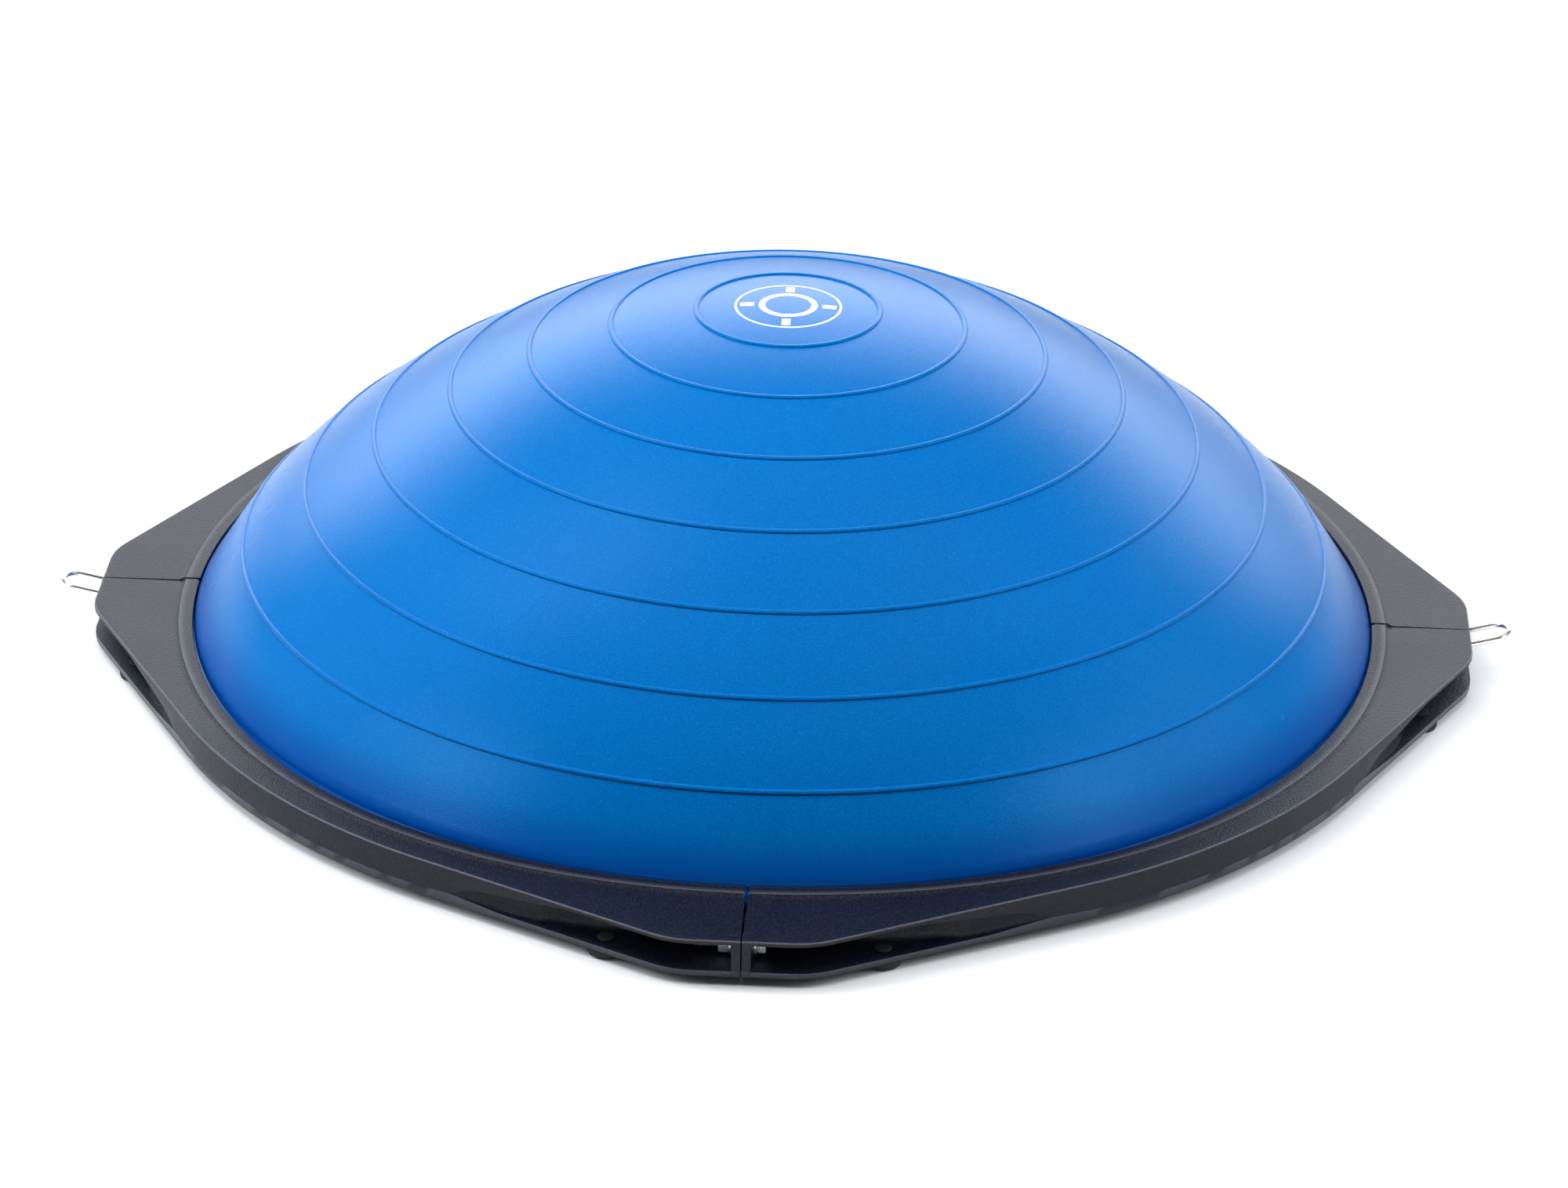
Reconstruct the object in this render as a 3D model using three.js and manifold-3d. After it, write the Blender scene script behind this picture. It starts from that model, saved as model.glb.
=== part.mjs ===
// Balance dome trainer: an air-filled half dome held on a round deck by a four-piece clamp ring.
// Millimetres, +Z up. The origin is on the floor, under the centre of the dome.
// The ring's four bolted corners lie on the X and Y axes; the two band loops are on the X corners.

import * as THREE from 'three';
import { mergeVertices } from 'three/addons/utils/BufferGeometryUtils.js';
import Module from 'manifold-3d';

const wasm = await Module();
wasm.setup();

// ---- driving dimensions -------------------------------------------------------------------

// Clamp ring, in plan
const RING_R = 330.5;        // outer radius between the corners
const END_R = 357.5;         // centre to the blunt end of a corner
const FLANK_ANGLE = 28.4;    // degrees from the corner to where its straight flank meets the circle
const CORNER_ROUND = 40;     // rounding between a corner's end and its flank
const OPENING_R = 308.3;     // mean radius of the opening round the dome
const OPENING_SQUARING = 2.2; // how far the opening is drawn in at the corners and out between them
const LIP_WIDTH = 7.5;       // raised lip round the opening
const LEDGE_R = 295;         // inner radius of the lower plate, which carries the deck
const SEAM_OUTER = 0.35;     // half gap between two quarters at the corner's end
const SEAM_INNER = 0.9;      // half gap between two quarters at the opening

// Clamp ring, in height
const FOOT_STAND = 4.6;      // floor to the underside of the ring
const RING_HEIGHT = 19.4;    // underside to the top plate
const LOWER_PLATE = 3.3;
const TOP_PLATE = 2.3;
const LIP_HEIGHT = 1.4;
const WALL = 3;              // outer wall of the ring
const FLANGE = 5;            // end flange of a quarter, which its neighbour is bolted to

// Corner joints: M6 hexagon bolts
const BOLT_R = 340;          // centre to the bolt's axis
const BOLT_LENGTH = 30;
const SHANK_R = 3;
const HOLE_R = 3.3;
const HEX_R = 5.77;          // 10 mm across flats
const HEAD_HEIGHT = 4;
const NUT_HEIGHT = 4.7;
const WASHER_R = 6;
const WASHER_HEIGHT = 1.2;
const GAP = 0.3;             // clearance between pieces that touch

// Band loops: a bent wire with an eye at each end, round the bolt
const WIRE_R = 1.5;
const EYE_R = 4.9;           // ring radius of the eye, to the wire's centre
const LOOP_REACH = 40.5;     // bolt's axis to the loop's tip
const LOOP_TILT = { left: 12, right: 15 };   // degrees above level, as they are left to stand

// Dome bladder
const APEX = 168;            // height of the dome above the ring's lip
const RIB_RADII = [46.9, 90.4, 131.9, 172.4, 211.5, 247.4, 280.1];
const RIB_HEIGHTS = [165, 156.6, 142.4, 122.1, 97.7, 69.6, 36.5];   // above the lip
const RIB_HALF_WIDTH = 1.3;
const RIB_PROUD = 1;
const SKIN = 3.2;
const DOME_FOOT_R = 305;     // radius of the dome where it passes the lip
const NECK_R = 305.4;        // radius where the dome turns out into its bead
const MEMBRANE = 2.5;        // flat base of the bladder
const BEAD_R = 315;          // the bead is clamped in the ring's channel

// Deck
const DECK_TOP = 16;
const DECK_R = 327;
const DECK_CROWN = 5;        // height of the deck's underside above the floor
const CROWN_R = 294.5;       // the lowered part that fills the ring's opening below
const GRIP_IN_R = 70;        // shallow grip field on the underside
const GRIP_OUT_R = 250;
const GRIP_DEPTH = 0.8;

// Valve
const VALVE_Y = 190;
const VALVE_CUP_R = 13;
const VALVE_CUP_TOP = 11.3;
const VALVE_BORE_R = 6.4;
const SEAT_R = 6;
const SEAT_BORE_R = 3.7;
const SEAT_BOTTOM = 9.9;
const SEAT_FLANGE_R = 12;
const SEAT_FLANGE = 2;
const PLUG_STEM_R = 3.4;
const PLUG_STEM = 4.6;
const PLUG_HEAD_R = 8;
const PLUG_HEAD = 2;
const PLUG_GRIP_R = 2.4;
const PLUG_GRIP = 2;

// Feet: push-in rubber buttons, two beside each corner
const FOOT_R = 9;
const FOOT_CIRCLE_R = 336;
const FOOT_ANGLE = 11.2;     // degrees from the corner
const STEM_R = 3.6;
const BARB_R = 4.4;
const BARB_HEIGHT = 0.8;

const ROUND = 48;            // sides of the large round pieces
const ROUND_SMALL = 16;      // sides of washers and holes

// ---- derived levels -----------------------------------------------------------------------

const RING_TOP = FOOT_STAND + RING_HEIGHT;
const LIP_TOP = RING_TOP + LIP_HEIGHT;
const LOWER_TOP = FOOT_STAND + LOWER_PLATE;
const UPPER_UNDER = RING_TOP - TOP_PLATE;
const BOLT_Z = (LOWER_TOP + UPPER_UNDER) / 2;
const BEAD_TOP = UPPER_UNDER - GAP;
const BASE_Z = DECK_TOP + GAP;
const CORNERS = { front: -90, right: 0, back: 90, left: 180 };

// ---- materials ----------------------------------------------------------------------------

const moulded = new THREE.MeshStandardMaterial({ color: '#2b2e36', roughness: 0.62, metalness: 0 });
const vinyl = new THREE.MeshStandardMaterial({ color: '#0b66bd', roughness: 0.42, metalness: 0 });
const deckPlastic = new THREE.MeshStandardMaterial({ color: '#24262b', roughness: 0.7, metalness: 0 });
const zinc = new THREE.MeshStandardMaterial({ color: '#c3c8cd', roughness: 0.28, metalness: 1 });
const brightWire = new THREE.MeshStandardMaterial({ color: '#d6d4cd', roughness: 0.16, metalness: 1 });
const rubber = new THREE.MeshStandardMaterial({ color: '#17181a', roughness: 0.85, metalness: 0 });
const valvePlastic = new THREE.MeshStandardMaterial({ color: '#dfe1e2', roughness: 0.45, metalness: 0 });

// ---- shared geometry ----------------------------------------------------------------------

const radians = THREE.MathUtils.degToRad;

const asSolid = (geometry) => {
  const bare = geometry.clone();
  bare.deleteAttribute('normal');
  bare.deleteAttribute('uv');
  const merged = mergeVertices(bare, 1e-4);
  return new wasm.Manifold(new wasm.Mesh({
    numProp: 3,
    vertProperties: new Float32Array(merged.attributes.position.array),
    triVerts: new Uint32Array(merged.index.array),
  }));
};

const asGeometry = (solid) => {
  const mesh = solid.getMesh();
  const geometry = new THREE.BufferGeometry();
  geometry.setAttribute('position', new THREE.BufferAttribute(new Float32Array(mesh.vertProperties), 3));
  geometry.setIndex(new THREE.BufferAttribute(new Uint32Array(mesh.triVerts), 1));
  geometry.computeVertexNormals();
  return geometry;
};

// A plate with the given plan outline, from height z0 to z1.
const plate = (points, z0, z1) => {
  const geometry = new THREE.ExtrudeGeometry(new THREE.Shape(points), { depth: z1 - z0, bevelEnabled: false });
  return geometry.translate(0, 0, z0);
};

// A turned piece about Z from [radius, height] points, listed from the top down.
const turned = (profile, sides) => {
  const points = profile.map(([r, z]) => new THREE.Vector2(r, z));
  return new THREE.LatheGeometry(points.reverse(), sides).rotateX(Math.PI / 2);
};

// A round or hexagonal bar along Y, from y0 to y1.
const bar = (radius, y0, y1, sides) => {
  const geometry = new THREE.CylinderGeometry(radius, radius, y1 - y0, sides);
  return geometry.translate(0, (y0 + y1) / 2, 0);
};

const arc = (cx, cy, radius, from, to, steps) => {
  const points = [];
  for (let i = 0; i <= steps; i++) {
    const a = radians(from + (to - from) * i / steps);
    points.push(new THREE.Vector2(cx + radius * Math.cos(a), cy + radius * Math.sin(a)));
  }
  return points;
};

// ---- clamp ring ---------------------------------------------------------------------------

const seamAt = (r) => THREE.MathUtils.mapLinear(r, OPENING_R, END_R, SEAM_INNER, SEAM_OUTER);

const mirrorAcrossDiagonal = (points) => points.map((p) => new THREE.Vector2(p.y, p.x)).reverse();

// Outer edge of a quarter between the corners on +X and +Y.
const outerEdge = () => {
  const n = new THREE.Vector2(Math.cos(radians(FLANK_ANGLE)), Math.sin(radians(FLANK_ANGLE)));
  const cx = END_R - CORNER_ROUND;
  const cy = (RING_R - CORNER_ROUND - n.x * cx) / n.y;
  const corner = [new THREE.Vector2(END_R, seamAt(END_R)), ...arc(cx, cy, CORNER_ROUND, 0, FLANK_ANGLE, 5)];
  const middle = arc(0, 0, RING_R, FLANK_ANGLE, 90 - FLANK_ANGLE, 11);
  return [...corner, ...middle, ...mirrorAcrossDiagonal(corner)];
};

// An inner edge that runs back from the +Y corner to the +X corner. The first and last points
// lie on the seam.
const innerEdge = (radiusAt) => {
  const steps = 20;
  const points = [];
  for (let i = steps; i >= 0; i--) {
    const a = 90 * i / steps;
    const r = radiusAt(a);
    const seam = seamAt(r);
    const edge = i === 0 ? new THREE.Vector2(r, seam) : new THREE.Vector2(seam, r);
    const inside = new THREE.Vector2(r * Math.cos(radians(a)), r * Math.sin(radians(a)));
    points.push(i === 0 || i === steps ? edge : inside);
  }
  return points;
};

const openingAt = (a) => OPENING_R - OPENING_SQUARING * Math.cos(radians(4 * a));

const flangeOutline = () => {
  const inner = RING_R - WALL;
  return [
    new THREE.Vector2(inner, seamAt(inner)), new THREE.Vector2(END_R, seamAt(END_R)),
    new THREE.Vector2(END_R, FLANGE), new THREE.Vector2(inner, FLANGE),
  ];
};

const quarterSolid = () => {
  const overlap = 0.1;
  const ringBand = (outer, inner) => [...innerEdge(outer).reverse(), ...innerEdge(inner)];
  const wallBand = ringBand(() => RING_R, () => RING_R - WALL);
  const lipBand = ringBand((a) => openingAt(a) + LIP_WIDTH, openingAt);
  let body = asSolid(plate([...outerEdge(), ...innerEdge(openingAt)], UPPER_UNDER, RING_TOP));
  const joined = [
    plate([...outerEdge(), ...innerEdge(() => LEDGE_R)], FOOT_STAND, LOWER_TOP),
    plate(lipBand, RING_TOP - overlap, LIP_TOP),
    plate(wallBand, LOWER_TOP - overlap, UPPER_UNDER + overlap),
    plate(flangeOutline(), LOWER_TOP - overlap, UPPER_UNDER + overlap),
    plate(mirrorAcrossDiagonal(flangeOutline()), LOWER_TOP - overlap, UPPER_UNDER + overlap),
  ];
  for (const piece of joined) body = body.add(asSolid(piece));
  const boltHole = () => bar(HOLE_R, -2 * FLANGE, 2 * FLANGE, ROUND_SMALL);
  const cuts = [
    boltHole().translate(BOLT_R, 0, BOLT_Z),
    boltHole().rotateZ(Math.PI / 2).translate(0, BOLT_R, BOLT_Z),
  ];
  for (const a of [FOOT_ANGLE, 90 - FOOT_ANGLE]) {
    const hole = new THREE.CylinderGeometry(STEM_R + GAP, STEM_R + GAP, 3 * LOWER_PLATE, ROUND_SMALL);
    hole.rotateX(Math.PI / 2);
    hole.translate(FOOT_CIRCLE_R * Math.cos(radians(a)), FOOT_CIRCLE_R * Math.sin(radians(a)), FOOT_STAND);
    cuts.push(hole);
  }
  for (const cut of cuts) body = body.subtract(asSolid(cut));
  return body;
};

// ---- dome bladder -------------------------------------------------------------------------

const domeCurve = () => {
  const points = [new THREE.Vector2(0, APEX)];
  RIB_RADII.forEach((r, i) => points.push(new THREE.Vector2(r, RIB_HEIGHTS[i])));
  points.push(new THREE.Vector2(DOME_FOOT_R, 0));
  const mirrored = points.slice(1).map((p) => new THREE.Vector2(-p.x, p.y)).reverse();
  return { curve: new THREE.SplineCurve([...mirrored, ...points]), bands: points.length - 1 };
};

// Outer skin from the apex to the lip, with its ribs, and the inner skin below it.
const domeSkins = () => {
  const { curve, bands } = domeCurve();
  const outer = [[0, LIP_TOP + APEX]];
  const inner = [[0, LIP_TOP + APEX - SKIN]];
  for (let band = 1; band <= bands; band++) {
    const at = (i) => 0.5 + 0.5 * i / bands;
    const middle = curve.getPoint(at(band - 0.5));
    outer.push([middle.x, LIP_TOP + middle.y]);
    const p = curve.getPoint(at(band));
    const t = curve.getTangent(Math.min(at(band), 0.9999));
    const normal = new THREE.Vector2(-t.y, t.x);
    if (band < bands) {
      for (const [along, proud] of [[-RIB_HALF_WIDTH, 0], [0, RIB_PROUD], [RIB_HALF_WIDTH, 0]]) {
        outer.push([p.x + t.x * along + normal.x * proud, LIP_TOP + p.y + t.y * along + normal.y * proud]);
      }
    } else {
      outer.push([p.x, LIP_TOP + p.y]);
    }
    inner.push([p.x - normal.x * SKIN, LIP_TOP + p.y - normal.y * SKIN]);
  }
  return { outer, inner };
};

const bladderSolid = () => {
  const { outer, inner } = domeSkins();
  const shell = [...outer, [NECK_R, BEAD_TOP], [BEAD_R, BEAD_TOP], [BEAD_R, BASE_Z], [0, BASE_Z]];
  const neck = NECK_R - SKIN;
  const cavity = [...inner, [neck, BEAD_TOP], [neck, BASE_Z + MEMBRANE], [0, BASE_Z + MEMBRANE]];
  const valveHole = new THREE.CylinderGeometry(SEAT_R + GAP, SEAT_R + GAP, 4 * MEMBRANE, ROUND_SMALL);
  valveHole.rotateX(Math.PI / 2).translate(0, VALVE_Y, BASE_Z);
  return asSolid(turned(shell, ROUND))
    .subtract(asSolid(turned(cavity, ROUND)))
    .subtract(asSolid(valveHole));
};

// ---- deck and valve -----------------------------------------------------------------------

const deckSolid = () => {
  const rimUnder = LOWER_TOP + GAP;
  const gripUnder = DECK_CROWN + GRIP_DEPTH;
  const board = [
    [0, DECK_TOP], [DECK_R, DECK_TOP], [DECK_R, rimUnder], [CROWN_R, rimUnder], [CROWN_R, DECK_CROWN],
    [GRIP_OUT_R, DECK_CROWN], [GRIP_OUT_R, gripUnder], [GRIP_IN_R, gripUnder], [GRIP_IN_R, DECK_CROWN],
    [0, DECK_CROWN],
  ];
  const cup = new THREE.CylinderGeometry(VALVE_CUP_R, VALVE_CUP_R, 2 * DECK_CROWN, 24);
  cup.rotateX(Math.PI / 2).translate(0, VALVE_Y, VALVE_CUP_TOP - DECK_CROWN);
  const bore = new THREE.CylinderGeometry(VALVE_BORE_R, VALVE_BORE_R, 2 * DECK_TOP, ROUND_SMALL);
  bore.rotateX(Math.PI / 2).translate(0, VALVE_Y, DECK_TOP);
  return asSolid(turned(board, ROUND)).subtract(asSolid(cup)).subtract(asSolid(bore));
};

// The seat is closed on itself: a tube with a flange that is welded inside the bladder's base.
const valveSeat = () => {
  const flangeUnder = BASE_Z + MEMBRANE + GAP;
  const top = flangeUnder + SEAT_FLANGE;
  const profile = [
    [SEAT_BORE_R, top], [SEAT_FLANGE_R, top], [SEAT_FLANGE_R, flangeUnder], [SEAT_R, flangeUnder],
    [SEAT_R, SEAT_BOTTOM], [SEAT_BORE_R, SEAT_BOTTOM], [SEAT_BORE_R, top],
  ];
  return turned(profile, ROUND_SMALL).translate(0, VALVE_Y, 0);
};

const valvePlug = () => {
  const headTop = SEAT_BOTTOM - GAP;
  const headUnder = headTop - PLUG_HEAD;
  const profile = [
    [0, headTop + PLUG_STEM], [PLUG_STEM_R, headTop + PLUG_STEM], [PLUG_STEM_R, headTop],
    [PLUG_HEAD_R, headTop], [PLUG_HEAD_R, headUnder], [PLUG_GRIP_R, headUnder],
    [PLUG_GRIP_R, headUnder - PLUG_GRIP], [0, headUnder - PLUG_GRIP],
  ];
  return turned(profile, ROUND_SMALL).translate(0, VALVE_Y, 0);
};

// ---- feet ---------------------------------------------------------------------------------

const foot = () => {
  const padTop = FOOT_STAND - GAP;
  const barbUnder = LOWER_TOP + GAP;
  const profile = [
    [0, barbUnder + BARB_HEIGHT], [STEM_R, barbUnder + BARB_HEIGHT], [BARB_R, barbUnder], [STEM_R, barbUnder],
    [STEM_R, padTop], [FOOT_R, padTop], [FOOT_R, 0], [0, 0],
  ];
  return turned(profile, 14);
};

// ---- corner hardware, made at the +X corner with the bolt along Y --------------------------

// Distance from the seam to the inner face of the bolt head and the nut.
const stackHeight = (hasLoop) => FLANGE + GAP + WASHER_HEIGHT + GAP + (hasLoop ? 2 * WIRE_R + GAP : 0);

const boltSolid = (hasLoop) => {
  const seatY = stackHeight(hasLoop);
  const head = asSolid(bar(HEX_R, seatY, seatY + HEAD_HEIGHT, 6));
  const shank = asSolid(bar(SHANK_R, seatY - BOLT_LENGTH, seatY + HEAD_HEIGHT / 2, 12));
  return head.add(shank);
};

const nutSolid = (hasLoop) => {
  const seatY = -stackHeight(hasLoop);
  const hexagon = asSolid(bar(HEX_R, seatY - NUT_HEIGHT, seatY, 6));
  return hexagon.subtract(asSolid(bar(HOLE_R, seatY - 2 * NUT_HEIGHT, seatY + NUT_HEIGHT, ROUND_SMALL)));
};

const washerSolid = (side) => {
  const inner = side * (FLANGE + GAP);
  const outer = side * (FLANGE + GAP + WASHER_HEIGHT);
  const y0 = Math.min(inner, outer);
  const y1 = Math.max(inner, outer);
  return asSolid(bar(WASHER_R, y0, y1, ROUND_SMALL))
    .subtract(asSolid(bar(HOLE_R, y0 - WASHER_HEIGHT, y1 + WASHER_HEIGHT, ROUND_SMALL)));
};

// Wire loop, level and with its hinge on the Y axis: two eyes joined by a U of the same wire.
const loopSolid = () => {
  const legY = FLANGE + GAP + WASHER_HEIGHT + GAP + WIRE_R;
  const bendX = LOOP_REACH - WIRE_R - legY;
  const legStart = EYE_R - 0.7;
  const path = new THREE.CurvePath();
  path.add(new THREE.LineCurve3(new THREE.Vector3(legStart, -legY, 0), new THREE.Vector3(bendX, -legY, 0)));
  const bend = arc(bendX, 0, legY, -90, 90, 10).map((p) => new THREE.Vector3(p.x, p.y, 0));
  for (let i = 1; i < bend.length; i++) path.add(new THREE.LineCurve3(bend[i - 1], bend[i]));
  path.add(new THREE.LineCurve3(new THREE.Vector3(bendX, legY, 0), new THREE.Vector3(legStart, legY, 0)));
  const section = new THREE.Shape(arc(0, 0, WIRE_R, 0, 315, 7));
  const wire = new THREE.ExtrudeGeometry(section, { steps: 26, bevelEnabled: false, extrudePath: path });
  let loop = asSolid(wire);
  for (const y of [-legY, legY]) {
    const eye = new THREE.TorusGeometry(EYE_R, WIRE_R, 8, 14).rotateX(Math.PI / 2).translate(0, y, 0);
    loop = loop.add(asSolid(eye));
  }
  return loop;
};

// ---- assembly -----------------------------------------------------------------------------

const model = new THREE.Group();

const addPiece = (name, geometry, material, parent = model) => {
  const mesh = new THREE.Mesh(geometry, material);
  mesh.name = name;
  parent.add(mesh);
  return mesh;
};

const quarter = asGeometry(quarterSolid());
const QUARTERS = { back_right: 0, back_left: 90, front_left: 180, front_right: 270 };
for (const [place, turn] of Object.entries(QUARTERS)) {
  addPiece(`ring_${place}`, quarter, moulded).rotation.z = radians(turn);
}

addPiece('dome_bladder', asGeometry(bladderSolid()), vinyl);
addPiece('deck', asGeometry(deckSolid()), deckPlastic);
addPiece('valve_seat', valveSeat(), valvePlastic);
addPiece('valve_plug', valvePlug(), valvePlastic);

for (const [place, turn] of Object.entries(CORNERS)) {
  const hasLoop = place === 'left' || place === 'right';
  const corner = new THREE.Group();
  corner.rotation.z = radians(turn);
  model.add(corner);

  const axle = new THREE.Group();
  axle.position.set(BOLT_R, 0, BOLT_Z);
  corner.add(axle);
  addPiece(`bolt_${place}`, asGeometry(boltSolid(hasLoop)), zinc, axle);
  addPiece(`nut_${place}`, asGeometry(nutSolid(hasLoop)), zinc, axle);
  addPiece(`washer_${place}_head`, asGeometry(washerSolid(1)), zinc, axle);
  addPiece(`washer_${place}_nut`, asGeometry(washerSolid(-1)), zinc, axle);
  if (hasLoop) {
    addPiece(`band_loop_${place}`, asGeometry(loopSolid()), brightWire, axle).rotation.y = -radians(LOOP_TILT[place]);
  }

  for (const [side, angle] of [['a', -FOOT_ANGLE], ['b', FOOT_ANGLE]]) {
    const pad = addPiece(`foot_${place}_${side}`, foot(), rubber, corner);
    pad.position.set(FOOT_CIRCLE_R * Math.cos(radians(angle)), FOOT_CIRCLE_R * Math.sin(radians(angle)), 0);
  }
}

export default model;
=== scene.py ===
import math

import bpy
from mathutils import Matrix, Vector


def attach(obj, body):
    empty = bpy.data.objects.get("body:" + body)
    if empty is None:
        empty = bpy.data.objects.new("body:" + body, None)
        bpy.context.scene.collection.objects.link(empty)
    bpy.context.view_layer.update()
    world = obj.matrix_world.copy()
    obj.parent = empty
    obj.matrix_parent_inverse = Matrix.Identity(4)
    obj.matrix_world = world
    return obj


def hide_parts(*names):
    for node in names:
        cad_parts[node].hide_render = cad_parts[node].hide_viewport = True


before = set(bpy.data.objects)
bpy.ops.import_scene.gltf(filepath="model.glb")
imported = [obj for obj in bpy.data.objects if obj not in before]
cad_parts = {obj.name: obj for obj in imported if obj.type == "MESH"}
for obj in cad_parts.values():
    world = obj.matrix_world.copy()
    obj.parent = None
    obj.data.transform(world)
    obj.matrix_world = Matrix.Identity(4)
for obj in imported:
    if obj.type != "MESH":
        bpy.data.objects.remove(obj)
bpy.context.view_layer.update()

MM = 0.001

# ---- camera and studio ---------------------------------------------------------------------
# The trainer stands on a plain white floor. The camera looks down on it a little from the right
# of one bolted corner, from far away, so the ring's two wire loops stand out at the sides.

CAMERA_PLACE = (0.1207, -2.5985, 1.3032)
CAMERA_LENS = 127.45
CAMERA_HEADING, CAMERA_RISE, CAMERA_ROLL = 2.649, 63.91, 1.03   # degrees

SENSOR_WIDTH = 36        # millimetres
VIEW_REACH = 100         # metres
AIR_COLOUR = (0.93, 0.96, 1.0, 1)
AIR_STRENGTH = 0.12
LAMP_COLOUR = (0.94, 0.97, 1.0)
FLOOR_SIZE = 24
FLOOR_WHITE = (0.87, 0.87, 0.87, 1)

camera_data = bpy.data.cameras.new("studio_camera")
camera_data.lens = CAMERA_LENS
camera_data.sensor_width = SENSOR_WIDTH
camera_data.clip_end = VIEW_REACH
camera = bpy.data.objects.new("studio_camera", camera_data)
bpy.context.scene.collection.objects.link(camera)
camera.matrix_world = (
    Matrix.Translation(CAMERA_PLACE)
    @ Matrix.Rotation(math.radians(CAMERA_HEADING), 4, "Z")
    @ Matrix.Rotation(math.radians(CAMERA_RISE), 4, "X")
    @ Matrix.Rotation(math.radians(CAMERA_ROLL), 4, "Z")
)
bpy.context.scene.camera = camera
bpy.context.scene.view_settings.view_transform = "Standard"

world = bpy.data.worlds.new("studio_air")
bpy.context.scene.world = world
world.use_nodes = True
world.node_tree.nodes["Background"].inputs["Color"].default_value = AIR_COLOUR
world.node_tree.nodes["Background"].inputs["Strength"].default_value = AIR_STRENGTH


def add_softbox(name, place, aim, width, height, power, mirrored=True, lights=True):
    """A large soft lamp: mirrored=False gives light without gloss, lights=False gloss without light."""
    lamp = bpy.data.lights.new(name, "AREA")
    lamp.shape = "RECTANGLE"
    lamp.size, lamp.size_y = width, height
    lamp.energy = power
    lamp.color = LAMP_COLOUR
    softbox = bpy.data.objects.new(name, lamp)
    bpy.context.scene.collection.objects.link(softbox)
    direction = Vector(aim) - Vector(place)
    softbox.location = place
    softbox.rotation_euler = direction.to_track_quat("-Z", "Y").to_euler()
    softbox.visible_camera = False
    softbox.visible_glossy = mirrored
    softbox.visible_diffuse = lights
    return softbox


add_softbox("lamp_overhead", (0, -0.1, 2.8), (0, 0, 0), 2.8, 2.8, 68, mirrored=False)
add_softbox("lamp_left_high", (-1.35, 0.2, 2.3), (0, 0, 0.1), 0.7, 1.4, 18)
add_softbox("lamp_right_high", (1.4, 0.2, 2.3), (0, 0, 0.1), 0.7, 1.4, 5)
add_softbox("lamp_left_low", (-2.4, 0.0, 1.1), (0, 0, 0.1), 1.5, 1.2, 70, mirrored=False)
add_softbox("lamp_right_low", (2.4, 0.0, 1.1), (0, 0, 0.1), 1.5, 1.2, 48, mirrored=False)
add_softbox("lamp_back", (0.0, 3.0, 1.3), (0, 0, 0.15), 6.5, 1.7, 150, lights=False)
add_softbox("lamp_left_front", (-2.3, -1.1, 1.5), (0, 0, 0), 0.5, 0.7, 22, lights=False)
add_softbox("lamp_right_front", (2.3, -1.1, 1.5), (0, 0, 0), 0.5, 0.7, 22, lights=False)
add_softbox("lamp_front", (0.0, -3.0, 0.20), (0, 0, 0), 2.6, 0.3, 36, lights=False)

bpy.ops.object.select_all(action="DESELECT")
bpy.ops.mesh.primitive_plane_add(size=FLOOR_SIZE, location=(0, 0, 0))
floor = bpy.context.object
floor.name = "studio_floor"
floor.visible_diffuse = False      # the floor shows and is mirrored, but lights nothing
floor_finish = bpy.data.materials.new("studio_white")
floor_finish.use_nodes = True
floor_shader = floor_finish.node_tree.nodes["Principled BSDF"]
floor_shader.inputs["Base Color"].default_value = FLOOR_WHITE
floor_shader.inputs["Roughness"].default_value = 0.9
floor_shader.inputs["Specular IOR Level"].default_value = 0.1
floor.data.materials.append(floor_finish)

# ---- dome bladder --------------------------------------------------------------------------
# One air-filled moulding of thick satin vinyl: a blue dome with seven round raised ribs, a neck
# that drops through the ring's opening, and a bead that the ring clamps all the way round.

LIP_TOP = 25.4
APEX = 168.0
RIB_RADII = (46.9, 90.4, 131.9, 172.4, 211.5, 247.4, 280.1)
RIB_HEIGHTS = (165.0, 156.6, 142.4, 122.1, 97.7, 69.6, 36.5)
RIB_HALF_WIDTH = 1.35
RIB_PROUD = 1.0
RIB_FULLNESS = 0.8       # below 1, a rib is blunter than half a wave
DOME_FOOT_R = 305.0
RIB_STEPS = 8
RIB_CLEAR = 0.5          # plain skin kept beside a rib
BAND_STEPS = 9
CURVE_STEPS = BAND_STEPS * 8
DOME_TURNS = 160
SAME_PLACE = 1e-6        # metres: corners closer than this are merged


def numbered_ring(name, count):
    """A closed ring of edges to lay a section on, with a number on each corner that Spin keeps."""
    bpy.ops.object.select_all(action="DESELECT")
    bpy.ops.mesh.primitive_circle_add(vertices=count, radius=1)
    piece = bpy.context.object
    piece.name = piece.data.name = name
    number = piece.data.attributes.new("rail", "INT", "POINT")
    number.data.foreach_set("value", list(range(count)))
    return piece


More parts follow.
